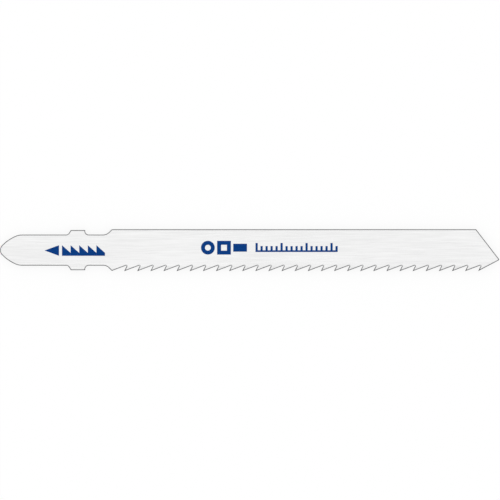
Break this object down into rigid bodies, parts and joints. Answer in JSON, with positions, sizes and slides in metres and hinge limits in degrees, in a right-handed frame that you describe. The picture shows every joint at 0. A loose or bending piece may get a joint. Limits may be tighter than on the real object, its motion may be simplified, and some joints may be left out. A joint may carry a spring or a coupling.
{
  "type": "jigsaw blade",
  "caption": "Flat steel jigsaw blade with a lugged T-shaped tang, a straight back, a slanted end and hooked teeth that lean to alternate sides.",
  "frame": {"origin": "on the tang's centre line, level with the front faces of the lugs, on the side that the blade lies on", "axes": "+X from the tang to the tip, +Y from the teeth to the back, +Z through the thickness, away from the side that it lies on"},
  "size_m": [0.0998, 0.0084, 0.0018],
  "materials": {
    "blade_steel": "satin"
  },
  "bodies": {
    "root": {"blade": "blade_steel"}
  },
  "joints": []
}
